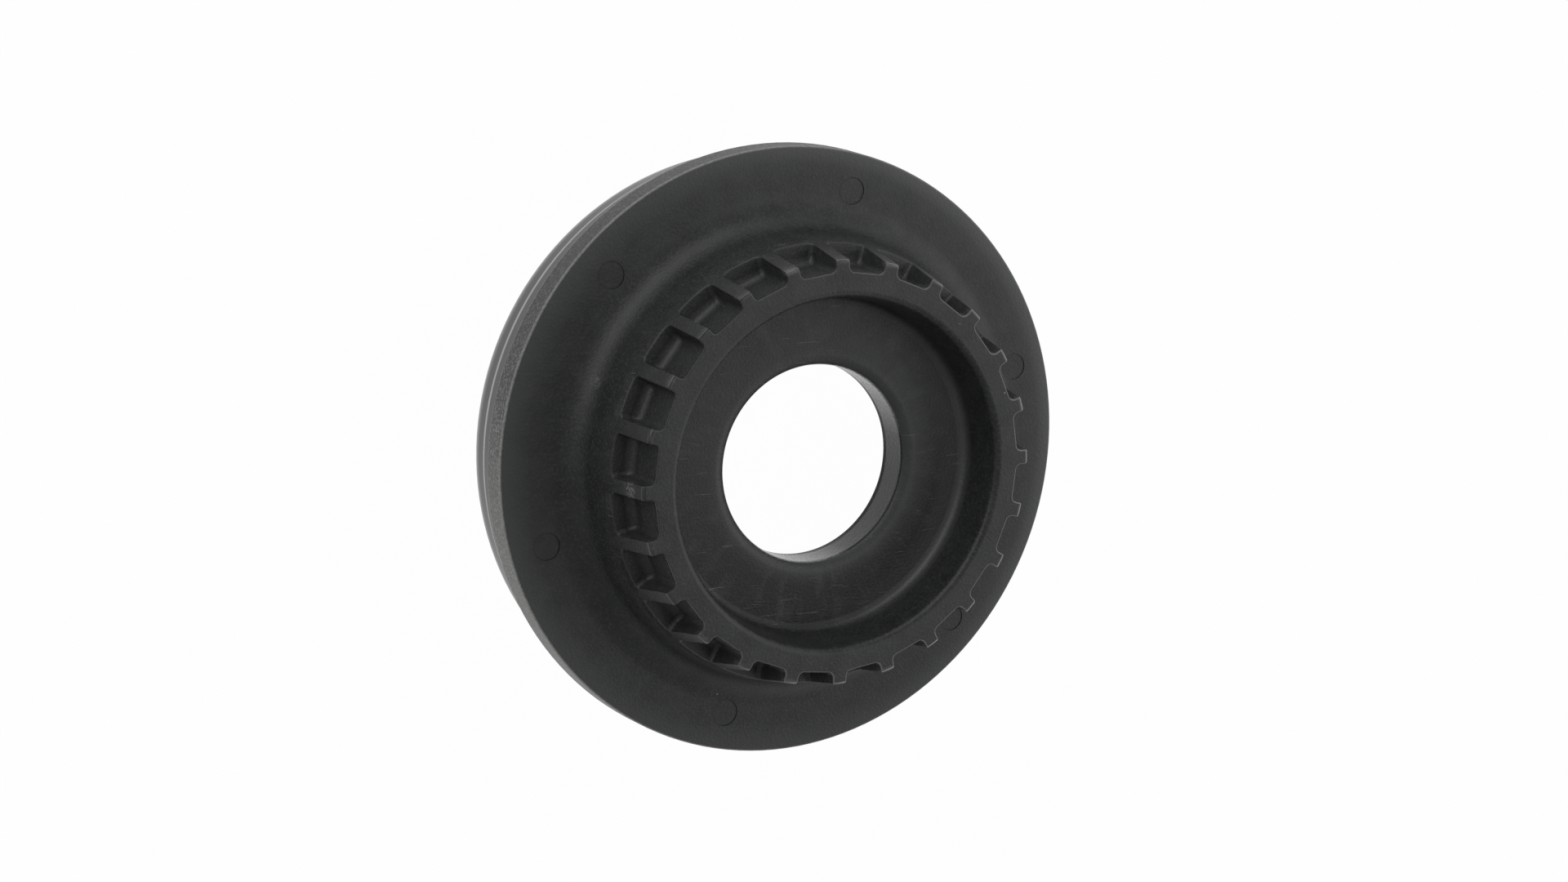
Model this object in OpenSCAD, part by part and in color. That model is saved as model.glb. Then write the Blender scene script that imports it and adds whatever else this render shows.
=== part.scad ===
// Strut mount with an axial ball bearing, lying on its upper cap with the spring side up.
// Heights are measured from the cap's seat face, radii from the bearing axis.

/* [Spring seat flange] */
// Diameter of the flange at its front edge
flange_d = 125; // [118:0.5:134]
// Thickness of the flange
flange_t = 6.3; // [5:0.1:8]
// How much further out the rim stands at its back edge
rim_draft = 0.3; // [0.1:0.05:0.6]
// Radius of the rim's edges
rim_edge_r = 0.5; // [0.2:0.05:0.8]

/* [Hub] */
// Height of the hub above the flange
hub_h = 23.7; // [20:0.1:28]
// Diameter across the rib tips at the hub's front face
hub_tip_d = 85; // [83:0.5:88]
// Diameter of the hub at the pocket floors
hub_rim_d = 89.5; // [88.5:0.5:93]
// Diameter at which the hub's wall would meet the flange without its fillet
hub_base_d = 94.6; // [92:0.1:98]
// Fillet between the hub and the flange
hub_fillet = 7; // [4:0.1:8.5]
// Rounding of the rib tips
rib_tip_r = 0.7; // [0.3:0.1:1]

/* [Pockets] */
// Number of ribs, and of pockets between them
rib_count = 24; // [18:1:28]
// Width of a rib
rib_w = 3; // [2:0.1:4]
// Diameter across the flat inner walls of the pockets, at the hub's front face
pocket_in_d = 79.8; // [77:0.1:82]
// How much further out an inner wall stands at the pocket's floor
pocket_draft = 0.35; // [0.1:0.05:0.6]
// Height of the pocket floors above the flange
pocket_floor_h = 13.1; // [11:0.1:16]
// Fillet between the inner wall and the pocket's floor
pocket_fillet = 2; // [0.6:0.1:3]
// Height of the hub's rim below the pocket floors
rim_land = 0.5; // [0.2:0.1:1]
// Radius of the pockets' upright corners
pocket_corner_r = 1; // [0.4:0.1:1.5]

/* [Recess and bore] */
// Diameter of the recess at its mouth
recess_d = 70.4; // [66:0.1:73]
// Diameter of the recess at its floor
recess_floor_d = 67.8; // [60:0.1:69]
// Depth of the recess
recess_depth = 11.2; // [8:0.1:13]
// Rounding of the recess mouth
recess_edge_r = 1.5; // [0.5:0.1:2.5]
// Fillet between the recess wall and its floor
recess_fillet = 1.8; // [0.5:0.1:3]
// Diameter of the centre bore
bore_d = 40; // [34:0.1:46]
// Thickness of the disc around the bore
disc_t = 9.3; // [7:0.1:12]
// Rounding of the recess floor around the bore
bore_lip_r = 3; // [2:0.1:4]
// How far that rounding falls before the bore cuts it off
bore_lip_h = 1.2; // [0.5:0.1:1.8]
// Rounding of the bore's back edge
bore_back_r = 0.8; // [0.3:0.1:1.5]

/* [Ejector marks] */
// Number of ejector pin marks on the flange
mark_count = 6; // [3:1:8]
// Diameter of an ejector pin mark
mark_d = 5.6; // [4:0.1:6]
// Diameter of the circle of marks
mark_circle_d = 109.6; // [108:0.1:112]
// Depth of a mark
mark_depth = 0.15; // [0.1:0.05:0.3]

/* [Bearing] */
// Diameter of the balls
ball_d = 6; // [5:0.1:6.5]
// Number of balls
ball_count = 36; // [24:1:38]
// Thickness of the pressed races
race_t = 1.2; // [0.8:0.1:1.6]
// Width of the pressed races
race_w = 10; // [9:0.1:11]
// Half of the angle that a race's groove wraps around the ball
race_wrap = 55; // [45:1:60]
// Width of the cage
cage_w = 8.4; // [7.6:0.1:9]
// Thickness of the cage
cage_t = 2.2; // [1.5:0.1:2.6]

/* [Cap] */
// Thickness of the cap under the race's groove
cap_floor_t = 4.2; // [3:0.1:6]
// Thickness of the cap's outer skirt
skirt_t = 3.2; // [2.5:0.1:4]
// How far the skirt lies inside the flange's front edge
skirt_inset = 2; // [1.5:0.1:4]
// Height at which the step around the cap begins
step_z = 12; // [11:0.1:15]
// Height of the step along the axis
step_h = 1.7; // [0.5:0.1:2.5]
// Depth of the step
step_depth = 0.35; // [0.2:0.05:0.8]
// Rounding between the cap's side and its seat face
cap_edge_r = 10; // [6:0.1:10.8]
// Thickness of the cap's inner wall
inner_wall_t = 2.1; // [1.6:0.1:3]

/* [Spring seat back] */
// Height of the bearing boss behind the flange
boss_h = 9.8; // [8.5:0.1:13]
// Wall of the boss outside the race
boss_wall = 1.3; // [1:0.1:2]
// Depth of the groove for the cap's inner wall
groove_depth = 4.6; // [4:0.1:6.5]
// Wall of the collar that clips into the cap
collar_t = 2.3; // [1.8:0.1:3.5]
// How far the collar ends above the cap's seat face
collar_inset = 2.4; // [1.5:0.1:3]
// Height of the snap lip along the axis
lip_h = 2.3; // [1.6:0.1:3]
// How far the snap lip reaches behind the cap's shoulder
lip_hook = 0.8; // [0.5:0.1:1.2]

/* [Seals] */
// Width of the space for the outer seal
seal_space = 3; // [2.5:0.1:4]
// Thickness of the seals
seal_t = 1; // [0.8:0.1:1.4]
// Height of the seal lips
seal_lip_h = 1.2; // [0.8:0.1:1.5]

/* [Fits] */
// Clearance between a ball and a race
ball_gap = 0.03; // [0.02:0.01:0.08]
// Clearance between a ball and its cage pocket
cage_gap = 0.1; // [0.05:0.01:0.15]
// Clearance between round faces of pieces that are fixed together
seat_gap = 0.05; // [0.02:0.01:0.08]
// Clearance between the two halves across their radius
turn_gap = 0.6; // [0.4:0.1:1]
// Clearance between the skirt's end and the flange
face_gap = 0.8; // [0.5:0.1:1.2]
// Clearance between a seal lip, or the snap lip, and the face it runs along
lip_gap = 0.3; // [0.2:0.05:0.5]

/* [Hidden] */
$fn = 96;

// Radii, from the flange inwards
flange_r = flange_d / 2;
skirt_r = flange_r - skirt_inset;
skirt_in_r = skirt_r - skirt_t;
boss_r = skirt_in_r - seal_space;
pitch_r = boss_r - boss_wall - race_w / 2;
boss_in_r = pitch_r - race_w / 2 - seat_gap;
inner_wall_r = boss_in_r - turn_gap;
opening_r = inner_wall_r - inner_wall_t;
collar_r = opening_r - turn_gap;
collar_in_r = collar_r - collar_t;
lip_r = opening_r + lip_hook;
shoulder_r = lip_r + turn_gap;
bore_r = bore_d / 2;
bore_lip_w = sqrt(2 * bore_lip_r * bore_lip_h - pow(bore_lip_h, 2));
pocket_in_r = pocket_in_d / 2;

// Heights, from the cap's seat face upwards
ball_r = ball_d / 2;
groove_r = ball_r + ball_gap;
groove_back_r = groove_r + race_t;
race_rise = groove_r * cos(race_wrap);
ball_z = cap_floor_t + seat_gap + groove_back_r;
upper_land_z = ball_z - race_rise - race_t;
lower_land_z = ball_z + race_rise + race_t;
lip_top_z = collar_inset + lip_h;
shoulder_z = lip_top_z + lip_gap;
groove_z = lower_land_z + groove_depth;
inner_wall_z = groove_z - seal_t - seal_lip_h - lip_gap;
flange_back_z = lower_land_z + boss_h;
skirt_end_z = flange_back_z - face_gap;
flange_z = flange_back_z + flange_t;
hub_z = flange_z + hub_h;
pocket_floor_z = flange_z + pocket_floor_h;
recess_z = hub_z - recess_depth;
disc_z = recess_z - disc_t;

// Turn from one rib, pocket, ball or mark to the next
rib_step = 360 / rib_count;
ball_step = 360 / ball_count;
mark_step = 360 / mark_count;
// Length by which a cut runs past the face it opens
overrun = 1;
// Straight steps in a rounded corner
arc_steps = 12;
right_angle = 90;

plastic = "#2b2d2e";
steel = "#a9adb0";
cage_plastic = "#3a3d3f";
rubber = "#1d1e1f";

function ball_name(i) = str("ball_", i < 10 ? "0" : "", i);

// Place of a point without its corner radius
function flat(p) = [p[0], p[1]];

// Points of the arc that rounds corner b, seen from corner a towards corner c
function round_corner(a, b, c) =
    let (
        to_a = (flat(a) - flat(b)) / norm(flat(a) - flat(b)),
        to_c = (flat(c) - flat(b)) / norm(flat(c) - flat(b)),
        half = acos(to_a * to_c) / 2,
        middle = (to_a + to_c) / norm(to_a + to_c),
        side = cross(to_a, to_c) > 0 ? 1 : -1,
        centre = flat(b) + middle * b[2] / sin(half)
    )
    [for (k = [0 : arc_steps])
        let (swing = side * (right_angle - half) * (1 - 2 * k / arc_steps))
        centre - b[2] * [middle[0] * cos(swing) - middle[1] * sin(swing),
                         middle[0] * sin(swing) + middle[1] * cos(swing)]];

// Closed outline of points [x, y] or [x, y, corner radius]
function rounded(points) =
    let (n = len(points))
    [for (i = [0 : n - 1])
        each len(points[i]) == 2
            ? [points[i]]
            : round_corner(points[(i + n - 1) % n], points[i], points[(i + 1) % n])];

// Round groove in which a race's back lies
module race_groove() {
    translate([pitch_r, ball_z]) circle(groove_back_r + seat_gap);
}

// Points of the rounding around the bore, from the recess floor down to the bore
function bore_lip() =
    [for (k = [0 : arc_steps])
        let (swing = asin(bore_lip_w / bore_lip_r) * k / arc_steps)
        [bore_r + bore_lip_w - bore_lip_r * sin(swing), recess_z - bore_lip_r * (1 - cos(swing))]];

// Section of the spring seat, from the bore's back edge around the collar and the flange to the recess
module seat_section() {
    difference() {
        polygon(rounded([
            [bore_r, disc_z, bore_back_r],
            [collar_in_r, disc_z, recess_fillet],
            [collar_in_r, collar_inset],
            [collar_r - lip_hook, collar_inset],
            [lip_r, lip_top_z - lip_h / 2],
            [lip_r, lip_top_z],
            [collar_r, lip_top_z],
            [collar_r, groove_z],
            [boss_in_r, groove_z],
            [boss_in_r, lower_land_z],
            [boss_r, lower_land_z],
            [boss_r, flange_back_z],
            [flange_r + rim_draft, flange_back_z, rim_edge_r],
            [flange_r, flange_z, rim_edge_r],
            [hub_base_d / 2, flange_z, hub_fillet],
            [hub_rim_d / 2, pocket_floor_z - rim_land],
            [hub_tip_d / 2, hub_z, rib_tip_r],
            [recess_d / 2, hub_z, recess_edge_r],
            [recess_floor_d / 2, recess_z, recess_fillet],
            each bore_lip()
        ]));
        race_groove();
    }
}

// Half of the pocket's width at radius x, between two ribs with parallel sides
function pocket_half(x) = x * tan(rib_step / 2) - rib_w / 2 / cos(rib_step / 2);

// Core of one pocket: rib sides and rounded corners in plan, floor, fillet and drafted wall in section
module pocket_core() {
    out_r = hub_rim_d / 2 + overrun;
    foot_r = pocket_in_r + pocket_draft;
    intersection() {
        translate([0, 0, pocket_floor_z])
            linear_extrude(hub_z - pocket_floor_z + overrun)
                polygon(rounded([
                    [pocket_in_r, -pocket_half(pocket_in_r), pocket_corner_r],
                    [out_r, -pocket_half(out_r)],
                    [out_r, pocket_half(out_r)],
                    [pocket_in_r, pocket_half(pocket_in_r), pocket_corner_r]
                ]));
        rotate([90, 0, 0])
            linear_extrude(2 * pocket_half(out_r) + overrun, center = true)
                polygon(rounded([
                    [foot_r, pocket_floor_z, pocket_fillet],
                    [out_r + overrun, pocket_floor_z],
                    [out_r + overrun, hub_z + overrun],
                    [pocket_in_r, hub_z + overrun]
                ]));
    }
}

module spring_seat() {
    color(plastic)
        difference() {
            rotate_extrude() seat_section();
            for (i = [0 : rib_count - 1])
                rotate((i + 0.5) * rib_step) pocket_core();
            for (i = [0 : mark_count - 1])
                rotate(rib_step + i * mark_step)
                    translate([mark_circle_d / 2, 0, flange_z - mark_depth])
                        cylinder(d = mark_d, h = mark_depth + overrun);
        }
}

// Cap with a rounded edge, a skirt around the bearing and an inner wall with a shoulder for the snap lip
module upper_cap() {
    step_r = skirt_r - step_depth;
    corner_r = seal_space + boss_wall - lip_gap;
    color(plastic)
        rotate_extrude()
            difference() {
                polygon(rounded([
                    [shoulder_r, 0],
                    [step_r, 0, cap_edge_r],
                    [step_r, step_z],
                    [skirt_r, step_z + step_h],
                    [skirt_r, skirt_end_z, rim_edge_r],
                    [skirt_in_r, skirt_end_z, rim_edge_r],
                    [skirt_in_r, upper_land_z, corner_r],
                    [inner_wall_r, upper_land_z],
                    [inner_wall_r, inner_wall_z],
                    [opening_r, inner_wall_z],
                    [opening_r, shoulder_z],
                    [shoulder_r, shoulder_z]
                ]));
                race_groove();
            }
}

// Section of a pressed race whose groove opens upwards, with the ball's centre at the height of zero
module race_section() {
    translate([pitch_r, 0])
        difference() {
            union() {
                translate([-race_w / 2, -race_rise - race_t]) square([race_w, race_t]);
                intersection() {
                    circle(groove_back_r);
                    translate([-race_w / 2, -groove_back_r]) square([race_w, groove_back_r - race_rise]);
                }
            }
            circle(groove_r);
        }
}

module upper_race() {
    color(steel)
        translate([0, 0, ball_z])
            rotate_extrude() race_section();
}

module lower_race() {
    color(steel)
        translate([0, 0, ball_z])
            rotate_extrude() mirror([0, 1]) race_section();
}

module ball_cage() {
    color(cage_plastic)
        translate([0, 0, ball_z])
            difference() {
                rotate_extrude()
                    translate([pitch_r - cage_w / 2, -cage_t / 2]) square([cage_w, cage_t]);
                for (i = [1 : ball_count])
                    rotate(i * ball_step)
                        translate([pitch_r, 0, -cage_t])
                            cylinder(r = ball_r + cage_gap, h = 2 * cage_t);
            }
}

module ball(i) {
    color(steel)
        rotate(i * ball_step)
            translate([pitch_r, 0, ball_z])
                sphere(ball_r);
}

// Ring against the boss and the flange, with a lip that runs along the skirt
module outer_seal() {
    lip_end_r = skirt_in_r - lip_gap;
    root_r = boss_r + seat_gap;
    lip_root_z = flange_back_z - seal_t;
    color(rubber)
        rotate_extrude()
            polygon([
                [root_r, lip_root_z - 2 * seal_lip_h],
                [root_r + seal_t, lip_root_z - 2 * seal_lip_h],
                [root_r + seal_t, lip_root_z - seal_lip_h],
                [lip_end_r, lip_root_z - 2 * seal_lip_h],
                [lip_end_r, lip_root_z - seal_lip_h],
                [root_r + seal_t, lip_root_z],
                [root_r + seal_t, flange_back_z],
                [root_r, flange_back_z]
            ]);
}

// Ring in the bottom of the groove, with a lip that runs along the end of the cap's inner wall
module inner_seal() {
    lip_mid_r = (opening_r + inner_wall_r) / 2;
    lip_root_z = groove_z - seal_t;
    color(rubber)
        rotate_extrude()
            polygon([
                [collar_r + seat_gap, lip_root_z],
                [lip_mid_r - seal_t / 2, lip_root_z],
                [lip_mid_r, lip_root_z - seal_lip_h],
                [lip_mid_r + seal_t / 2, lip_root_z],
                [boss_in_r - seat_gap, lip_root_z],
                [boss_in_r - seat_gap, groove_z],
                [collar_r + seat_gap, groove_z]
            ]);
}

spring_seat();
upper_cap();
upper_race();
lower_race();
ball_cage();
outer_seal();
inner_seal();
for (i = [1 : ball_count])
    ball(i);
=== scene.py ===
import bpy
import math
from mathutils import Matrix, Vector


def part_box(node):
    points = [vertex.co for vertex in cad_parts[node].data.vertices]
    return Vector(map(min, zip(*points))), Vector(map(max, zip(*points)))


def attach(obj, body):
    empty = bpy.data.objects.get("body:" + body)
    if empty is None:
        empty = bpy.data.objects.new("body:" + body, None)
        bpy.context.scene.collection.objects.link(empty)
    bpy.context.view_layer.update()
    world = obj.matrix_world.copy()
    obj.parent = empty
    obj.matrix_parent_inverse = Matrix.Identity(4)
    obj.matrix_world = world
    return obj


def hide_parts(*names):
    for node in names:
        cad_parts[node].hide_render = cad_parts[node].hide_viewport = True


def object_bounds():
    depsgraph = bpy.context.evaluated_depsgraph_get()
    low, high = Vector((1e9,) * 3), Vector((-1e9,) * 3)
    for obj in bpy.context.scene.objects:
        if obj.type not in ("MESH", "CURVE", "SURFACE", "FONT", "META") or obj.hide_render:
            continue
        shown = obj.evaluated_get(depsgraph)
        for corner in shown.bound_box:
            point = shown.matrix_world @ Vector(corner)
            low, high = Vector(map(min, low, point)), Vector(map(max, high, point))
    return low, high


mm = 0.001
near = 1e-6  # points closer than this, in metres, count as one

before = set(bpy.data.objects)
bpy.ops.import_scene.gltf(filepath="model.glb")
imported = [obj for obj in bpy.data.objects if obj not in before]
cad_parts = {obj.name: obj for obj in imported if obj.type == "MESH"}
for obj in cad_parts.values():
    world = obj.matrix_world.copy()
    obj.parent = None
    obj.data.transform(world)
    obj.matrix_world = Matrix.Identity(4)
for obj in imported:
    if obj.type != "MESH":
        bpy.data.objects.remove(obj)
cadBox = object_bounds()


# small helpers for selecting and shaping

def selectOnly(piece):
    if bpy.context.mode != "OBJECT":
        bpy.ops.object.mode_set(mode="OBJECT")
    bpy.ops.object.select_all(action="DESELECT")
    if piece:
        piece.select_set(True)
        bpy.context.view_layer.objects.active = piece


def namePiece(name):
    piece = bpy.context.object
    piece.name = name
    piece.data.name = name
    return piece


def pick(piece, kind, test):
    # selects the vertices or edges that pass the test and stays in edit mode
    bpy.ops.object.mode_set(mode="EDIT")
    bpy.ops.mesh.select_mode(type=kind)
    bpy.ops.mesh.select_all(action="DESELECT")
    bpy.ops.object.mode_set(mode="OBJECT")
    items = {"VERT": piece.data.vertices, "EDGE": piece.data.edges}[kind]
    for item in items:
        item.select = test(item)
    bpy.ops.object.mode_set(mode="EDIT")


def pickAt(piece, places):
    # selects the vertices that lie at these places
    pick(piece, "VERT", lambda v: any((v.co - p).length < near for p in places))


def ends(piece, edge):
    return [piece.data.vertices[i].co for i in edge.vertices]


def useModifier(piece, kind, **settings):
    selectOnly(piece)
    modifier = piece.modifiers.new(kind.title(), kind)
    for key, value in settings.items():
        setattr(modifier, key, value)
    bpy.ops.object.modifier_apply(modifier=modifier.name)


def cutAway(piece, cutter):
    useModifier(piece, "BOOLEAN", operation="DIFFERENCE", solver="EXACT", object=cutter)
    bpy.data.objects.remove(cutter)


def mergeClose():
    bpy.ops.object.mode_set(mode="EDIT")
    bpy.ops.mesh.select_all(action="SELECT")
    bpy.ops.mesh.remove_doubles(threshold=near)
    bpy.ops.mesh.normals_make_consistent(inside=False)
    bpy.ops.object.mode_set(mode="OBJECT")


def turnedSection(name, corners, steps):
    # draws a closed section point by point, rounds its corners and spins it round the axis
    # a corner is (radius, height) or (radius, height, rounding, segments), in mm
    places = [Vector((c[0], 0, c[1])) * mm for c in corners]
    selectOnly(None)
    bpy.ops.mesh.primitive_plane_add(size=mm)
    piece = namePiece(name)
    bpy.ops.object.mode_set(mode="EDIT")
    bpy.ops.mesh.select_mode(type="VERT")
    bpy.ops.mesh.merge(type="CENTER")
    bpy.ops.transform.translate(value=places[0])
    for here, there in zip(places, places[1:]):
        bpy.ops.mesh.extrude_vertices_move(TRANSFORM_OT_translate={"value": there - here})
    pickAt(piece, [places[0], places[-1]])
    bpy.ops.mesh.edge_face_add()
    for i, corner in enumerate(corners):
        if len(corner) == 2:
            continue
        rounding, segments = corner[2:]
        toLast = places[i - 1] - places[i]
        toNext = places[(i + 1) % len(places)] - places[i]
        reach = rounding * mm / math.tan(toLast.angle(toNext) / 2)
        pickAt(piece, [places[i]])
        bpy.ops.mesh.bevel(affect="VERTICES", offset=reach, segments=segments)
    bpy.ops.mesh.select_all(action="SELECT")
    bpy.ops.mesh.spin(steps=steps, angle=2 * math.pi, center=(0, 0, 0), axis=(0, 0, 1))
    mergeClose()
    return piece


def ringOf(piece, count):
    # copies a cutter round the axis
    selectOnly(piece)
    bpy.ops.object.mode_set(mode="EDIT")
    bpy.ops.mesh.select_all(action="SELECT")
    turn = 2 * math.pi * (count - 1) / count
    bpy.ops.mesh.spin(steps=count - 1, dupli=True, angle=turn, center=(0, 0, 0), axis=(0, 0, 1))
    bpy.ops.object.mode_set(mode="OBJECT")


def softenEdges(piece, size, **settings):
    useModifier(piece, "BEVEL", width=size["edge"] * mm, segments=size["edgeSegments"],
                limit_method="ANGLE", angle_limit=math.radians(size["edgeAngle"]), **settings)


def smoothFaces(piece, angle):
    selectOnly(piece)
    bpy.ops.object.shade_smooth_by_angle(angle=math.radians(angle))
    useModifier(piece, "WEIGHTED_NORMAL", keep_sharp=True)


# the spring seat: flange, ribbed hub, recess with the bore, and the back that holds the bearing

# segments in a rounding, by the kind of rounding
arc = {"edge": 4, "corner": 5, "lip": 6, "inside": 8, "fillet": 10, "seatEdge": 24}

seat = {
    "flangeD": 125, "flangeT": 6.3, "rimDraft": 0.3, "rimEdge": 0.5,
    "hubH": 23.7, "hubTipD": 85, "hubRimD": 89.5, "hubBaseD": 94.6, "hubFillet": 7, "tipRound": 0.7,
    "recessD": 70.4, "recessFloorD": 67.8, "recessDepth": 11.2, "recessEdge": 1.5, "recessFillet": 1.8,
    "boreD": 40, "discT": 9.3, "boreLip": 3, "boreLipH": 1.2, "boreLipSteps": 8, "boreBack": 0.8,
    "bossD": 108.6, "bossInD": 85.9, "bossH": 9.8, "grooveDepth": 4.6,
    "collarD": 79.3, "collarInD": 74.7, "collarEnd": 2.4, "lipD": 82.1, "lipH": 2.3, "lipHook": 0.8,
    "raceBackR": 4.28, "raceBackSteps": 12,
    "edge": 0.35, "edgeSegments": 2, "edgeAngle": 33, "smoothAngle": 38, "steps": 144,
}
pocket = {
    "count": 24, "ribW": 3, "inD": 79.8, "draft": 0.35, "floorH": 13.1, "rimLand": 0.5,
    "fillet": 2, "corner": 1.0, "past": 1.5, "sideSlack": 0.005, "mouth": 0.1,
}
mark = {"count": 6, "d": 5.6, "circleD": 109.6, "depth": 0.15, "past": 0.5, "sides": 40}

ballLow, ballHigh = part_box("ball_36")
ballMiddle = (ballLow + ballHigh) / 2 / mm
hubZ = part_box("spring_seat")[1].z / mm
flangeZ = hubZ - seat["hubH"]
flangeBackZ = flangeZ - seat["flangeT"]
landZ = flangeBackZ - seat["bossH"]
recessZ = hubZ - seat["recessDepth"]
discZ = recessZ - seat["discT"]
pocketZ = flangeZ + pocket["floorH"]
ribTurn = 2 * math.pi / pocket["count"]
markTurn = 2 * math.pi / mark["count"]


def raceGroove(faceZ, side):
    # points of the round groove that a race's back lies in, from the inside outwards
    r, steps = seat["raceBackR"], seat["raceBackSteps"]
    start = math.acos((faceZ - ballMiddle.z) * side / r)
    turns = [start * (2 * i / steps - 1) for i in range(steps + 1)]
    return [(ballMiddle.x + r * math.sin(a), ballMiddle.z + side * r * math.cos(a)) for a in turns]


def boreLip():
    # points of the rounding around the bore, from the recess floor down to the bore
    r, drop, steps = seat["boreLip"], seat["boreLipH"], seat["boreLipSteps"]
    width = math.sqrt(2 * r * drop - drop ** 2)
    outR = seat["boreD"] / 2 + width
    turns = [math.asin(width / r) * i / steps for i in range(steps + 1)]
    return [(outR - r * math.sin(a), recessZ - r * (1 - math.cos(a))) for a in turns]


def makeSeatBody():
    s = seat
    collarR = s["collarD"] / 2
    lipTopZ = s["collarEnd"] + s["lipH"]
    corners = [
        (s["boreD"] / 2, discZ, s["boreBack"], arc["lip"]),
        (s["collarInD"] / 2, discZ, s["recessFillet"], arc["corner"]),
        (s["collarInD"] / 2, s["collarEnd"]),
        (collarR - s["lipHook"], s["collarEnd"]),
        (s["lipD"] / 2, lipTopZ - s["lipH"] / 2),
        (s["lipD"] / 2, lipTopZ),
        (collarR, lipTopZ),
        (collarR, landZ + s["grooveDepth"]),
        (s["bossInD"] / 2, landZ + s["grooveDepth"]),
        (s["bossInD"] / 2, landZ),
        *raceGroove(landZ, 1),
        (s["bossD"] / 2, landZ),
        (s["bossD"] / 2, flangeBackZ),
        (s["flangeD"] / 2 + s["rimDraft"], flangeBackZ, s["rimEdge"], arc["edge"]),
        (s["flangeD"] / 2, flangeZ, s["rimEdge"], arc["edge"]),
        (s["hubBaseD"] / 2, flangeZ, s["hubFillet"], arc["fillet"]),
        (s["hubRimD"] / 2, pocketZ - pocket["rimLand"]),
        (s["hubTipD"] / 2, hubZ, s["tipRound"], arc["edge"]),
        (s["recessD"] / 2, hubZ, s["recessEdge"], arc["lip"]),
        (s["recessFloorD"] / 2, recessZ, s["recessFillet"], arc["lip"]),
        *boreLip(),
    ]
    return turnedSection("springSeat", corners, s["steps"])


def pocketHalf(radius):
    # half of a pocket's width between two ribs with parallel sides
    half = ribTurn / 2
    return radius * math.tan(half) - pocket["ribW"] / 2 / math.cos(half)


def makePocketCutter():
    p = pocket
    inR = p["inD"] / 2
    footR = inR + p["draft"]
    outR = seat["hubRimD"] / 2 + p["past"]
    length = outR - inR
    selectOnly(None)
    middle = Vector((inR + length / 2, 0, pocketZ)) * mm
    bpy.ops.mesh.primitive_plane_add(size=length * mm, location=middle)
    cutter = namePiece("pocketCutter")
    bpy.ops.object.transform_apply(location=True)
    for radius in (inR, outR):
        pick(cutter, "VERT", lambda v: abs(v.co.x - radius * mm) < near)
        spread = pocketHalf(radius) / (length / 2)
        bpy.ops.transform.resize(value=(1, spread, 1), center_override=(radius * mm, 0, pocketZ * mm))
    bpy.ops.mesh.select_all(action="SELECT")
    rise = hubZ - pocketZ + p["past"]
    bpy.ops.mesh.extrude_region_move(TRANSFORM_OT_translate={"value": (0, 0, rise * mm)})
    mergeClose()

    def atFoot(place, radius):
        return place.x < radius * mm + near and place.z < pocketZ * mm + near

    # the inner wall stands further out at its foot, which is rounded
    pick(cutter, "VERT", lambda v: atFoot(v.co, inR))
    bpy.ops.transform.translate(value=(p["draft"] * mm, 0, 0))
    bpy.ops.transform.resize(value=(1, pocketHalf(footR) / pocketHalf(inR), 1),
                             center_override=(footR * mm, 0, pocketZ * mm))
    pick(cutter, "EDGE", lambda e: all(atFoot(place, footR) for place in ends(cutter, e)))
    bpy.ops.mesh.bevel(offset=p["fillet"] * mm, segments=arc["lip"])

    def onSide(place):
        return abs(abs(place.y) - pocketHalf(place.x / mm) * mm) < p["sideSlack"] * mm

    def borders(edge):
        # along a rib's side, but neither at the pocket's mouth nor at its outer end
        a, b = ends(cutter, edge)
        along = onSide(a) and onSide(b) and a.y * b.y > 0
        return along and min(a.x, b.x) < (outR - p["mouth"]) * mm and min(a.z, b.z) < hubZ * mm

    pick(cutter, "EDGE", borders)
    bpy.ops.mesh.bevel(offset=p["corner"] * mm, segments=arc["corner"])
    mergeClose()
    selectOnly(cutter)
    bpy.ops.object.mode_set(mode="EDIT")
    bpy.ops.mesh.select_all(action="SELECT")
    bpy.ops.transform.rotate(value=-ribTurn / 2, orient_axis="Z", center_override=(0, 0, 0))
    ringOf(cutter, p["count"])
    return cutter


def makeMarkCutter():
    # the marks line up with ribs, starting from the second one
    m = mark
    height = m["depth"] + m["past"]
    middleZ = flangeZ - m["depth"] + height / 2
    place = Vector((math.cos(ribTurn), math.sin(ribTurn), 0)) * m["circleD"] / 2 + Vector((0, 0, middleZ))
    selectOnly(None)
    bpy.ops.mesh.primitive_cylinder_add(vertices=m["sides"], radius=m["d"] / 2 * mm, depth=height * mm,
                                        location=place * mm)
    cutter = namePiece("markCutter")
    bpy.ops.object.transform_apply(location=True)
    ringOf(cutter, m["count"])
    return cutter


springSeat = makeSeatBody()
cutAway(springSeat, makePocketCutter())
print("seat turned and pockets cut:", len(springSeat.data.polygons), "faces")
softenEdges(springSeat, seat, loop_slide=True, use_clamp_overlap=False)
cutAway(springSeat, makeMarkCutter())
smoothFaces(springSeat, seat["smoothAngle"])
print("seat finished:", len(springSeat.data.polygons), "faces")


# the cap: rounded edge, side with a step, skirt round the bearing, inner wall with its shoulder

cap = {
    "skirtD": 121, "skirtT": 3.2, "endGap": 0.8, "stepZ": 12, "stepH": 1.7, "stepDepth": 0.35,
    "seatEdge": 10, "corner": 4,
    "innerWallD": 84.7, "openingD": 80.5, "innerWallEnd": 13.518, "shoulderD": 83.3, "shoulderZ": 5.0,
    "landZ": 5.54, "endEdge": 0.35,
    "edge": 0.15, "edgeSegments": 2, "edgeAngle": 40, "smoothAngle": 9, "steps": 144,
}


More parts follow.
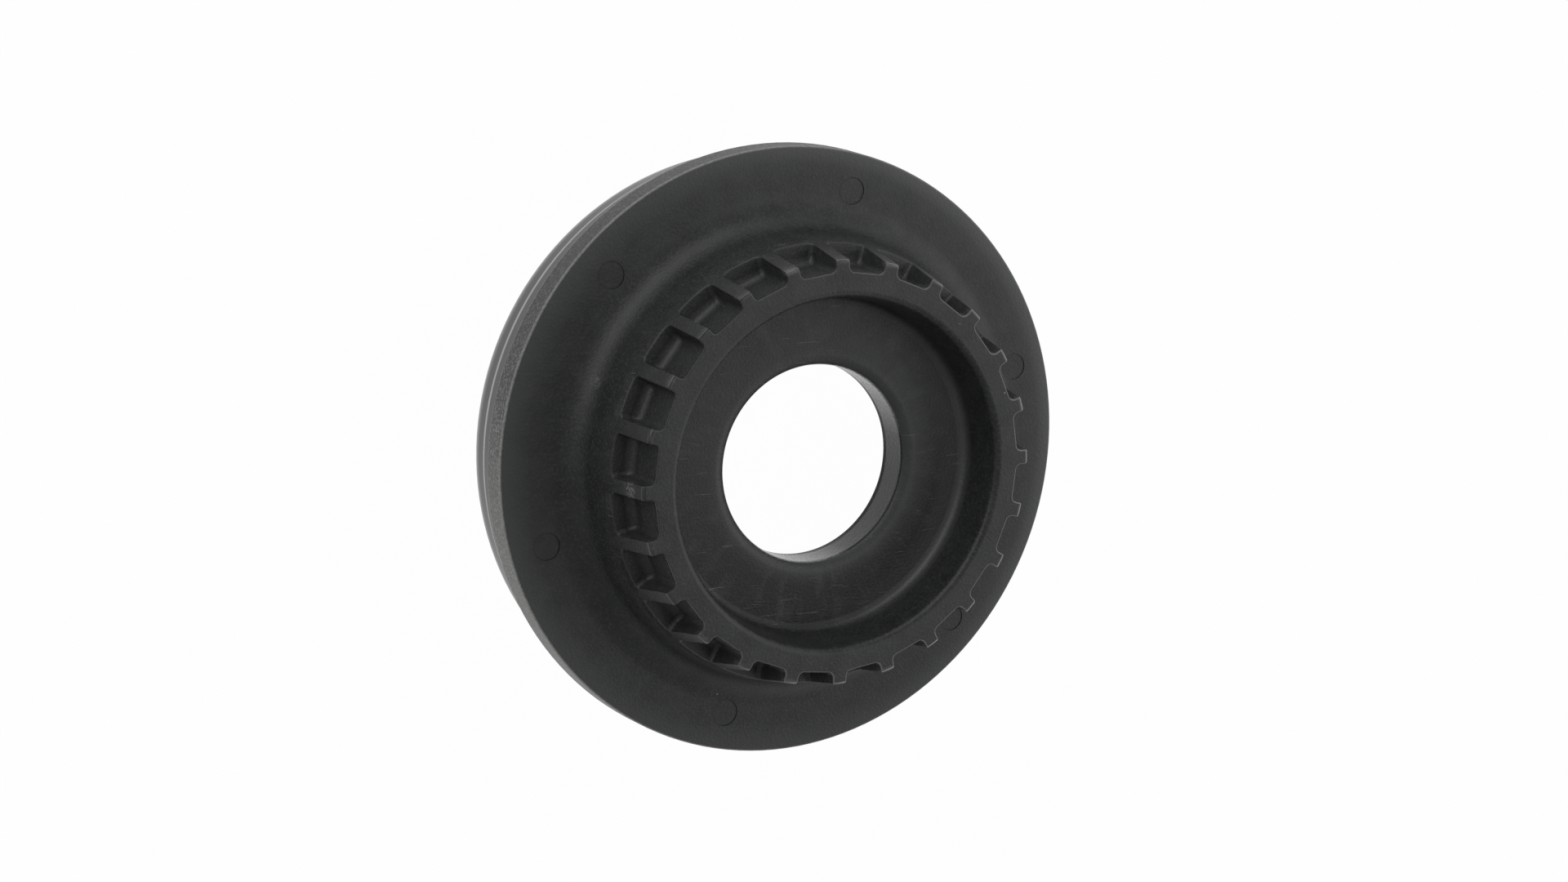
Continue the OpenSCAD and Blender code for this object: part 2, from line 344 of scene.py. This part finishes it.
def makeCap():
    c = cap
    skirtR = c["skirtD"] / 2
    stepR = skirtR - c["stepDepth"]
    skirtInR = skirtR - c["skirtT"]
    endZ = flangeBackZ - c["endGap"]
    corners = [
        (c["shoulderD"] / 2, 0),
        (stepR, 0, c["seatEdge"], arc["seatEdge"]),
        (stepR, c["stepZ"]),
        (skirtR, c["stepZ"] + c["stepH"]),
        (skirtR, endZ, c["endEdge"], arc["edge"]),
        (skirtInR, endZ, c["endEdge"], arc["edge"]),
        (skirtInR, c["landZ"], c["corner"], arc["inside"]),
        *reversed(raceGroove(c["landZ"], -1)),
        (c["innerWallD"] / 2, c["landZ"]),
        (c["innerWallD"] / 2, c["innerWallEnd"]),
        (c["openingD"] / 2, c["innerWallEnd"]),
        (c["openingD"] / 2, c["shoulderZ"]),
        (c["shoulderD"] / 2, c["shoulderZ"]),
    ]
    piece = turnedSection("upperCap", corners, c["steps"])
    softenEdges(piece, c)
    smoothFaces(piece, c["smoothAngle"])
    return piece


upperCap = makeCap()
print("cap finished:", len(upperCap.data.polygons), "faces")


# small helpers for materials

def newMaterial(name):
    material = bpy.data.materials.new(name)
    material.use_nodes = True
    tree = material.node_tree
    return material, tree, tree.nodes["Principled BSDF"]


def addNode(tree, kind, inputs, **settings):
    # inputs are numbers or colours to set, or sockets to link
    node = tree.nodes.new("ShaderNode" + kind)
    for key, value in settings.items():
        setattr(node, key, value)
    for key, value in inputs.items():
        if isinstance(value, bpy.types.NodeSocket):
            tree.links.new(value, node.inputs[key])
        else:
            node.inputs[key].default_value = value
    return node


def objectPlace(tree):
    return addNode(tree, "TexCoord", {}).outputs["Object"]


def noiseOf(tree, place, scale, detail=2.0, roughness=0.5):
    inputs = {"Vector": place, "Scale": scale, "Detail": detail, "Roughness": roughness}
    return addNode(tree, "TexNoise", inputs).outputs["Fac"]


def spreadOf(tree, value, low, high, toLow=0.0, toHigh=1.0):
    inputs = {"Value": value, "From Min": low, "From Max": high, "To Min": toLow, "To Max": toHigh}
    return addNode(tree, "MapRange", inputs).outputs["Result"]


def mathOf(tree, operation, *values):
    return addNode(tree, "Math", dict(enumerate(values)), operation=operation).outputs[0]


def measureOf(tree, operation, *vectors):
    # a length, a distance or a dot product
    return addNode(tree, "VectorMath", dict(enumerate(vectors)), operation=operation).outputs["Value"]


def placeOf(tree, x, y):
    return addNode(tree, "CombineXYZ", {0: x, 1: y}).outputs[0]


def bumpOf(tree, height, distance, strength=1.0):
    inputs = {"Height": height, "Distance": distance, "Strength": strength}
    return addNode(tree, "Bump", inputs).outputs["Normal"]


def numberBetween(tree, share, first, second):
    # the number sockets of a Mix node are its inputs 2 and 3 and its output 0
    return addNode(tree, "Mix", {0: share, 2: first, 3: second}).outputs[0]


def colourBetween(tree, share, first, second):
    # the colour sockets of a Mix node are its inputs 6 and 7 and its output 2
    return addNode(tree, "Mix", {0: share, 6: first, 7: second}, data_type="RGBA").outputs[2]


def both(tree, *shares):
    total = shares[0]
    for share in shares[1:]:
        total = mathOf(tree, "MULTIPLY", total, share)
    return total


def roundPlace(tree, place):
    # turn around the axis, distance from it, and height
    parts = addNode(tree, "SeparateXYZ", {0: place}).outputs
    radius = measureOf(tree, "LENGTH", placeOf(tree, parts["X"], parts["Y"]))
    return mathOf(tree, "ARCTAN2", parts["Y"], parts["X"]), radius, parts["Z"]


def rampFrom(tree, value, base, span, toLow=0.0, toHigh=1.0):
    # goes from one share to the other over a span, in mm from the base
    low, high = span
    return spreadOf(tree, value, (base + low) * mm, (base + high) * mm, toLow, toHigh)


def towards(tree, place, degrees, span, toLow=0.0, toHigh=1.0):
    # goes from one share to the other along this turn, over a span in mm from the axis
    way = Vector((math.cos(math.radians(degrees)), math.sin(math.radians(degrees)), 0))
    return rampFrom(tree, measureOf(tree, "DOT_PRODUCT", place, way), 0, span, toLow, toHigh)


def bandFrom(tree, value, base, band):
    # 1 between two limits, in mm from the base, with soft ends
    low, high, soft = band
    rise = rampFrom(tree, value, base, (low - soft, low))
    fall = rampFrom(tree, value, base, (high, high + soft), 1, 0)
    return both(tree, rise, fall)


# finish of the spring seat: spans and bands in mm, turns in degrees, noises as scale, detail and roughness

flangeR, boreR, tipR = seat["flangeD"] / 2, seat["boreD"] / 2, seat["hubTipD"] / 2
recessR, pocketR = seat["recessFloorD"] / 2, pocket["inD"] / 2

# some of these tones also serve below as painted glare, painted highlight, painted reflection and painted
# shade
tones = {
    "dark": (0.0115, 0.0123, 0.0121, 1), "light": (0.0265, 0.0281, 0.0276, 1),
    "darkAndShade": (0.004, 0.004, 0.004, 1), "grey": (0.050, 0.053, 0.052, 1), "wornAndLit": (0.17, 0.174, 0.172, 1),
    "dustAndLight": (0.34, 0.34, 0.33, 1), "paintedHighlight": (0.78, 0.78, 0.76, 1),
}
grained = {
    "cloud": (210, 6, 0.7), "cloudSpread": (0.3, 0.7), "patches": (90, 3, 0.6), "patchSpread": (0.45, 0.65),
    "noise": (1700, 3, 0.6), "paler": (0.5, 0.75, 0, 0.65), "rough": (0.3, 0.7, 0.34, 0.50), "depth": 0.00009,
    "gloss": 0.41,
}
# painted glare on the flange: a paler rim, and a painted glow on one side
flangePaintedGlare = {
    "face": (-0.25, 0.1, 0.2), "rim": (-6, 0), "rimShare": 0.8,
    "glow": (-3.5, 0), "glowTurn": 20, "glowSpan": (-10, 45), "glowShare": 0.3,
}
# painted glare, painted shade and painted light in the recess
recessPaintedLight = {
    "floor": (-seat["boreLipH"], 0.1, 0.4),
    "bore": (0, 9), "boreShare": 0.35, "lip": (0.4, 3.4), "lipShare": 0.75,
    "paintedShade": (2, 5), "paintedShadeTurn": -85, "paintedShadeSpan": (-6, 20), "paintedShadeShare": 0.9,
    "corner": (-0.2, 1, 2), "cornerIn": (-6, -2), "cornerOut": (1.6, 1.2),
    "cornerTurn": -15, "cornerSpan": (6, 30), "cornerShare": 0.3,
}
# painted light in the pockets, lifting their shade
pocketPaintedLight = {"below": (-0.3, -0.6), "top": -1, "soft": 0.5, "wall": (-0.9, -0.4), "share": 0.05}
streaks = {"stretch": 12, "noise": (9, 4, 0.65), "spread": (0.5, 0.7, 0, 0.5)}
scratches = {
    "radians": (0, 0, 0.9), "stretch": (170, 4200, 60), "noise": (1, 1), "spread": (0.72, 0.76, 0, 0.45),
}
# wear on the rib tips, and a painted glint on the tooth edges of one side
hubWearAndGlint = {
    "tipTop": (-2.5, -0.5), "tipOut": (-1, -0.4), "tipGrain": (0.3, 0.6, 0.2, 0.5),
    "toothFoot": (-0.5, -0.4), "toothTop": (-0.012, -0.05), "toothOut": (-0.6, -0.4),
    "glintTurn": -25, "glintSpan": (-30, 20), "glintShares": (0.1, 0.65),
    "edgeTop": (-0.9, -0.7), "edgeOut": (-0.7, -0.5), "edgeRough": 0.12,
}
# painted highlight on the rim's wall and along both of its edges
rimPaintedHighlight = {
    "wall": (-0.4, -0.05), "turn": -130, "specks": (1900, 2, 0.7), "speckSpread": (0.46, 0.66),
    "speckSpan": (5, 55), "speckLeast": 0.22, "litSpan": (25, 62), "litShare": 0.6,
    "front": (-0.55, -0.1, 0.15), "back": (0.05, 0.5, 0.15), "edgeGrain": (0.3, 0.6, 0.3, 0.6), "rough": 0.45,
}
scuffs = {
    "grain": (0.42, 0.62), "core": 1 / 3,
    "hub": {"place": (-43.5, 0, 46.9), "size": 2.1, "share": 0.5},
    "fillet": {"place": (-43.4, 18.4, 30.7), "size": 1.6, "share": 0.2},
}
# painted reflection on two sides of the bore's wall, and a dark line at its back edge
boreReflectionAndBackLine = {
    "wall": (0.3, 0.1), "grain": (0.3, 0.6, 0.5, 1), "rough": 0.18,
    "back": (0.5, 1.8, 0.15), "backGloss": 0.1,
    "top": {"turn": 75, "span": (9, 18), "share": 0.95},
    "bottom": {"turn": -112, "span": (14, 20), "share": 0.6},
}
markLine = {"band": (-0.14, 0, 0.1), "shares": (0.4, 0.7)}
specks = {"cells": 190, "chosen": (0.9, 0.91), "size": (0.035, 0.02, 0, 0.7)}


def seatGround(tree):
    # where a point of the seat lies and what it belongs to, as sockets
    place = objectPlace(tree)
    turn, radius, height = roundPlace(tree, place)
    patches = noiseOf(tree, place, *grained["patches"])
    onTooth = both(tree, rampFrom(tree, height, hubZ, hubWearAndGlint["toothFoot"]),
                   rampFrom(tree, height, hubZ, hubWearAndGlint["toothTop"]),
                   rampFrom(tree, radius, pocketR, hubWearAndGlint["toothOut"]))
    onBore = rampFrom(tree, radius, boreR, boreReflectionAndBackLine["wall"])
    return {
        "place": place, "turn": turn, "radius": radius, "height": height,
        "grain": noiseOf(tree, place, *grained["noise"]),
        "patches": spreadOf(tree, patches, *grained["patchSpread"]),
        "onFlange": bandFrom(tree, height, flangeZ, flangePaintedGlare["face"]),
        "onFloor": bandFrom(tree, height, recessZ, recessPaintedLight["floor"]),
        "onTooth": onTooth,
        "onRim": rampFrom(tree, radius, flangeR, rimPaintedHighlight["wall"]),
        "onBore": onBore,
        "onBoreBack": both(tree, onBore, bandFrom(tree, height, discZ, boreReflectionAndBackLine["back"])),
    }


def flangeLayers(tree, at):
    # painted glare: the flange is painted paler towards its rim, with a painted glow near the rim on one side
    f = flangePaintedGlare
    rim = rampFrom(tree, at["radius"], flangeR, f["rim"], 0, f["rimShare"])
    glow = both(tree, rampFrom(tree, at["radius"], flangeR, f["glow"]),
                towards(tree, at["place"], f["glowTurn"], f["glowSpan"], 0, f["glowShare"]))
    return [(both(tree, at["onFlange"], rim), "grey"), (both(tree, at["onFlange"], glow), "wornAndLit")]


def recessLayers(tree, at):
    # painted glare and shade: the recess floor is painted paler towards the bore and on its lip, darker on
    # one side, and paler in its corner on one side
    f = recessPaintedLight
    place, radius = at["place"], at["radius"]
    # painted glare: the floor is painted paler towards the bore and on its lip
    bore = rampFrom(tree, radius, boreR, f["bore"], f["boreShare"], 0)
    lip = rampFrom(tree, radius, boreR, f["lip"], f["lipShare"], 0)
    # painted shade: the floor is painted darker on one side, away from the bore
    paintedShade = both(tree, towards(tree, place, f["paintedShadeTurn"], f["paintedShadeSpan"]),
               rampFrom(tree, radius, boreR, f["paintedShade"], 0, f["paintedShadeShare"]))
    # painted light: the corner of the recess is painted paler on one side, lifting its shade
    corner = both(tree, rampFrom(tree, radius, recessR, f["cornerIn"]),
                  rampFrom(tree, radius, recessR, f["cornerOut"]),
                  bandFrom(tree, at["height"], recessZ, f["corner"]),
                  towards(tree, place, f["cornerTurn"], f["cornerSpan"], 0, f["cornerShare"]))
    onFloor = at["onFloor"]
    return [(both(tree, onFloor, bore), "grey"), (both(tree, onFloor, lip), "grey"),
            (both(tree, onFloor, paintedShade), "darkAndShade"), (corner, "wornAndLit")]


def pocketLayers(tree, at):
    # painted light: the pockets are painted a little paler inside the slanting outline of the rib tips,
    # lifting their shade
    f = pocketPaintedLight
    slope = (seat["hubRimD"] - seat["hubTipD"]) / 2 / (hubZ - pocketZ)
    slanted = mathOf(tree, "ADD", at["radius"], mathOf(tree, "MULTIPLY", at["height"], slope))
    dustAndLight = both(tree, rampFrom(tree, slanted, tipR + slope * hubZ, f["below"]),
                bandFrom(tree, at["height"], pocketZ, (0, hubZ + f["top"] - pocketZ, f["soft"])),
                rampFrom(tree, at["radius"], pocketR, f["wall"], 0, f["share"]))
    return [(dustAndLight, "wornAndLit")]


def streakLayers(tree, at):
    # flow streaks run out from the bore, with a few hair scratches across them
    fan = placeOf(tree, at["turn"], spreadOf(tree, at["radius"], 0, 1, 0, streaks["stretch"]))
    streak = spreadOf(tree, noiseOf(tree, fan, *streaks["noise"]), *streaks["spread"])
    inputs = {"Vector": at["place"], "Rotation": scratches["radians"], "Scale": scratches["stretch"]}
    drawn = addNode(tree, "Mapping", inputs).outputs[0]
    hair = spreadOf(tree, noiseOf(tree, drawn, *scratches["noise"]), *scratches["spread"])
    return [(both(tree, at["onFloor"], streak), "grey"), (both(tree, at["onFloor"], hair), "wornAndLit")]


def hubLayers(tree, at):
    # the rib tips are rubbed in patches, and the edges of the teeth on one side carry a painted glint
    f = hubWearAndGlint
    tip = both(tree, rampFrom(tree, at["height"], hubZ, f["tipTop"]),
               rampFrom(tree, at["radius"], tipR, f["tipOut"]),
               at["patches"], spreadOf(tree, at["grain"], *f["tipGrain"]))
    # painted glint: the tooth edges are painted paler towards one side
    side = towards(tree, at["place"], f["glintTurn"], f["glintSpan"], *f["glintShares"])
    return [(tip, "wornAndLit"), (both(tree, at["onTooth"], side), "wornAndLit")]


def rimLayers(tree, at):
    # painted highlight: the rim's wall is painted paler in grainy specks, most on one side, and paler still
    # on that side, and both of its edges carry a grainy painted highlight line
    f = rimPaintedHighlight
    place = at["place"]
    speckled = both(tree, spreadOf(tree, noiseOf(tree, place, *f["specks"]), *f["speckSpread"]),
                    towards(tree, place, f["turn"], f["speckSpan"], f["speckLeast"]))
    paintedHighlight = towards(tree, place, f["turn"], f["litSpan"], 0, f["litShare"])
    layers = [(both(tree, at["onRim"], speckled), "dustAndLight"), (both(tree, at["onRim"], paintedHighlight), "dustAndLight")]
    # painted highlight lines along both edges of the rim
    for base, band in ((flangeZ, f["front"]), (flangeBackZ, f["back"])):
        edge = both(tree, at["onRim"], bandFrom(tree, at["height"], base, band),
                    spreadOf(tree, at["grain"], *f["edgeGrain"]))
        layers.append((edge, "dustAndLight"))
    return layers


def scuffLayers(tree, at):
    layers = []
    speckled = spreadOf(tree, at["grain"], *scuffs["grain"])
    for name in ("hub", "fillet"):
        scuff = scuffs[name]
        away = measureOf(tree, "DISTANCE", at["place"], Vector(scuff["place"]) * mm)
        span = (scuff["size"], scuff["size"] * scuffs["core"])
        layers.append((both(tree, rampFrom(tree, away, 0, span, 0, scuff["share"]), speckled), "dustAndLight"))
    return layers


def boreLayers(tree, at):
    # painted reflection: the bore's wall is painted pale on two sides, and its back edge is dark
    layers = []
    for name in ("top", "bottom"):
        reflectionSide = boreReflectionAndBackLine[name]
        side = towards(tree, at["place"], reflectionSide["turn"], reflectionSide["span"], 0, reflectionSide["share"])
        paintedReflection = both(tree, at["onBore"], side, spreadOf(tree, at["grain"], *boreReflectionAndBackLine["grain"]))
        layers.append((paintedReflection, "paintedHighlight"))
    return layers + [(at["onBoreBack"], "darkAndShade")]


def markLayers(tree, at):
    # a thin dark line around each ejector pin mark
    swing = mathOf(tree, "WRAP", at["turn"], ribTurn + markTurn / 2, ribTurn - markTurn / 2)
    swing = mathOf(tree, "SUBTRACT", swing, ribTurn)
    along = mathOf(tree, "MULTIPLY", at["radius"], mathOf(tree, "COSINE", swing))
    across = mathOf(tree, "MULTIPLY", at["radius"], mathOf(tree, "SINE", swing))
    along = mathOf(tree, "SUBTRACT", along, mark["circleD"] / 2 * mm)
    away = measureOf(tree, "LENGTH", placeOf(tree, along, across))
    line = both(tree, at["onFlange"], bandFrom(tree, away, mark["d"] / 2, markLine["band"]),
                spreadOf(tree, at["patches"], 0, 1, *markLine["shares"]))
    return [(line, "darkAndShade")]


def speckLayers(tree, at):
    # specks of dust, in a few cells of a cell pattern
    cells = addNode(tree, "TexVoronoi", {"Vector": at["place"], "Scale": specks["cells"]}).outputs
    draw = addNode(tree, "SeparateColor", {0: cells["Color"]}).outputs[0]
    speck = both(tree, spreadOf(tree, draw, *specks["chosen"]),
                 spreadOf(tree, cells["Distance"], *specks["size"]))
    return [(speck, "dustAndLight")]


def seatPlastic():
    material, tree, shader = newMaterial("grainedPolyamide")
    at = seatGround(tree)
    cloud = spreadOf(tree, noiseOf(tree, at["place"], *grained["cloud"]), *grained["cloudSpread"])
    colour = colourBetween(tree, cloud, tones["dark"], tones["light"])
    layers = [(spreadOf(tree, at["grain"], *grained["paler"]), "grey")]
    for makeLayers in (flangeLayers, recessLayers, pocketLayers, streakLayers, hubLayers, rimLayers,
                       scuffLayers, boreLayers, markLayers, speckLayers):
        layers += makeLayers(tree, at)
    for share, tone in layers:
        colour = colourBetween(tree, share, colour, tones[tone])
    tree.links.new(colour, shader.inputs["Base Color"])

    # the bore, the rim and the ribs' edges have their own roughness, and the ribs' edges have no grain
    tipEdge = both(tree, rampFrom(tree, at["height"], hubZ, hubWearAndGlint["edgeTop"]),
                   rampFrom(tree, at["radius"], tipR, hubWearAndGlint["edgeOut"]))
    smooth = mathOf(tree, "MAXIMUM", tipEdge, at["onTooth"])
    rough = spreadOf(tree, at["grain"], *grained["rough"])
    for share, level in ((at["onBore"], boreReflectionAndBackLine["rough"]), (at["onRim"], rimPaintedHighlight["rough"]),
                         (smooth, hubWearAndGlint["edgeRough"])):
        rough = numberBetween(tree, share, rough, level)
    tree.links.new(rough, shader.inputs["Roughness"])
    bump = bumpOf(tree, at["grain"], grained["depth"], mathOf(tree, "SUBTRACT", 1.0, smooth))
    tree.links.new(bump, shader.inputs["Normal"])
    gloss = numberBetween(tree, at["onBoreBack"], grained["gloss"], boreReflectionAndBackLine["backGloss"])
    tree.links.new(gloss, shader.inputs["Specular IOR Level"])
    return material


# finish of the cap, and of the pieces inside the bearing

capFinish = {
    "dark": (0.012, 0.0126, 0.0125, 1), "light": (0.018, 0.0188, 0.0185, 1), "wornAndLit": (0.34, 0.34, 0.33, 1),
    "cloud": (110, 3), "spread": (0.3, 0.7), "rough": (0.13, 0.22), "grain": 900, "grainDepth": 0.000005,
    "stepBand": (0.3, cap["stepH"], 0.2), "stepOut": (-1, -0.8), "stepShare": 0.5,
}
innerFinish = {
    "cloud": (3, 0.55), "spread": (0.3, 0.7), "grainScale": 6, "grainDepth": 0.000004,
    "raceSteel": {"dark": (0.42, 0.42, 0.41, 1), "light": (0.55, 0.55, 0.54, 1), "rough": (0.2, 0.34),
                  "metal": 1.0, "scale": 400},
    "ballSteel": {"dark": (0.55, 0.55, 0.54, 1), "light": (0.62, 0.62, 0.61, 1), "rough": (0.07, 0.13),
                  "metal": 1.0, "scale": 900},
    "cageNylon": {"dark": (0.03, 0.032, 0.033, 1), "light": (0.045, 0.047, 0.048, 1), "rough": (0.4, 0.55),
                  "metal": 0.0, "scale": 500},
    "sealRubber": {"dark": (0.010, 0.010, 0.010, 1), "light": (0.016, 0.016, 0.016, 1), "rough": (0.6, 0.75),
                   "metal": 0.0, "scale": 700},
}


def capPlastic():
    f = capFinish
    material, tree, shader = newMaterial("smoothPolyamide")
    place = objectPlace(tree)
    cloud = noiseOf(tree, place, *f["cloud"])
    colour = colourBetween(tree, spreadOf(tree, cloud, *f["spread"]), f["dark"], f["light"])
    # painted highlight: the step in the side is painted pale
    radius, height = roundPlace(tree, place)[1:]
    onStep = both(tree, bandFrom(tree, height, cap["stepZ"], f["stepBand"]),
                  rampFrom(tree, radius, cap["skirtD"] / 2, f["stepOut"], 0, f["stepShare"]))
    colour = colourBetween(tree, onStep, colour, f["wornAndLit"])
    tree.links.new(colour, shader.inputs["Base Color"])
    tree.links.new(spreadOf(tree, cloud, *f["spread"], *f["rough"]), shader.inputs["Roughness"])
    tree.links.new(bumpOf(tree, noiseOf(tree, place, f["grain"]), f["grainDepth"]), shader.inputs["Normal"])
    return material


def innerMaterial(name):
    # tone and gloss from one noise, and fine bump from another
    f, own = innerFinish, innerFinish[name]
    material, tree, shader = newMaterial(name)
    place = objectPlace(tree)
    cloud = noiseOf(tree, place, own["scale"], *f["cloud"])
    colour = colourBetween(tree, spreadOf(tree, cloud, *f["spread"]), own["dark"], own["light"])
    tree.links.new(colour, shader.inputs["Base Color"])
    tree.links.new(spreadOf(tree, cloud, *f["spread"], *own["rough"]), shader.inputs["Roughness"])
    grain = noiseOf(tree, place, own["scale"] * f["grainScale"])
    tree.links.new(bumpOf(tree, grain, f["grainDepth"]), shader.inputs["Normal"])
    shader.inputs["Metallic"].default_value = own["metal"]
    return material


def dress(piece, material):
    piece.data.materials.clear()
    piece.data.materials.append(material)


dress(springSeat, seatPlastic())
dress(upperCap, capPlastic())
raceSteel = innerMaterial("raceSteel")
ballSteel = innerMaterial("ballSteel")
cageNylon = innerMaterial("cageNylon")
sealRubber = innerMaterial("sealRubber")
for name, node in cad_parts.items():
    if name == "ball_cage":
        dress(node, cageNylon)
    elif name.startswith("ball_"):
        dress(node, ballSteel)
    elif name.endswith("race"):
        dress(node, raceSteel)
    elif name.endswith("seal"):
        dress(node, sealRubber)
print("materials assigned")

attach(springSeat, "seat")
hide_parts("spring_seat")
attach(upperCap, "cap")
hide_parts("upper_cap")


# floor, light and camera

studio = {
    "floorSize": 8, "floorGap": 0.1, "floorTone": (0.5, 0.5, 0.5, 1), "whiteShare": 0.985,
    "back": (0.867, -0.207, -0.453), "mirrorSpan": (-125, -65), "mirrorShares": (0.25, 0.85),
    "skySpan": (0.08, 0.5), "skyLevels": (0.30, 1.0), "white": (1, 1, 1, 1),
    "topLight": {"from": (-0.50, 0.75, 0.40), "far": 0.9, "size": (1.7, 0.45), "power": 4.6},
    "rightLight": {"from": (0.58, 0.08, 0.81), "far": 0.9, "size": (0.8, 0.9), "power": 1.75},
}
view = {
    "place": (-256.91, 113.83, 539.35), "aim": (-0.90, 2.68, 27.52), "up": (-0.0046, 1, 0),
    "lens": 65.86, "sensor": 36,
}


def makeFloor():
    s = studio
    selectOnly(None)
    floorZ = cadBox[0].z - s["floorGap"] * mm
    bpy.ops.mesh.primitive_plane_add(size=s["floorSize"], location=(0, 0, floorZ))
    floor = namePiece("floor")
    material, tree, shader = newMaterial("floorWhite")
    tree.nodes.remove(shader)
    rays = addNode(tree, "LightPath", {}).outputs
    # what the object mirrors is paler behind it than on the camera's side
    behind = measureOf(tree, "DOT_PRODUCT", objectPlace(tree), s["back"])
    mirrored = both(tree, mathOf(tree, "MAXIMUM", rays["Is Glossy Ray"], rays["Is Transmission Ray"]),
                    rampFrom(tree, behind, 0, s["mirrorSpan"], *s["mirrorShares"]))
    seen = both(tree, rays["Is Camera Ray"], s["whiteShare"])
    paper = addNode(tree, "BsdfDiffuse", {"Color": s["floorTone"]}).outputs[0]
    glow = addNode(tree, "Emission", {}).outputs[0]
    share = mathOf(tree, "MAXIMUM", mirrored, seen)
    mix = addNode(tree, "MixShader", {0: share, 1: paper, 2: glow}).outputs[0]
    tree.links.new(mix, tree.nodes["Material Output"].inputs["Surface"])
    dress(floor, material)


def makeSky():
    # paler behind the object than on the camera's side, and white where the camera sees it
    s = studio
    world = bpy.data.worlds.new("studio")
    bpy.context.scene.world = world
    world.use_nodes = True
    tree = world.node_tree
    away = addNode(tree, "TexCoord", {}).outputs["Generated"]
    level = spreadOf(tree, measureOf(tree, "DOT_PRODUCT", away, s["back"]), *s["skySpan"], *s["skyLevels"])
    seen = addNode(tree, "LightPath", {}).outputs["Is Camera Ray"]
    sky = tree.nodes["Background"]
    tree.links.new(mathOf(tree, "MAXIMUM", level, seen), sky.inputs["Strength"])
    sky.inputs["Color"].default_value = s["white"]


def makeLight(name):
    lamp = studio[name]
    toLamp = Vector(lamp["from"]).normalized()
    bpy.ops.object.light_add(type="AREA", location=toLamp * lamp["far"])
    light = bpy.context.object
    light.name = name
    light.rotation_euler = (-toLamp).to_track_quat("-Z", "Y").to_euler()
    light.data.shape = "RECTANGLE"
    light.data.size, light.data.size_y = lamp["size"]
    light.data.energy = lamp["power"]


def makeCamera():
    place = Vector(view["place"]) * mm
    ahead = (Vector(view["aim"]) * mm - place).normalized()
    right = ahead.cross(Vector(view["up"])).normalized()
    up = right.cross(ahead)
    bpy.ops.object.camera_add(location=place)
    camera = bpy.context.object
    camera.rotation_euler = Matrix((right, up, -ahead)).transposed().to_euler()
    camera.data.lens = view["lens"]
    camera.data.sensor_width = view["sensor"]
    bpy.context.scene.camera = camera


selectOnly(None)
makeFloor()
makeSky()
makeLight("topLight")
makeLight("rightLight")
makeCamera()
bpy.context.scene.view_settings.view_transform = "Standard"
print("floor, light and camera placed")
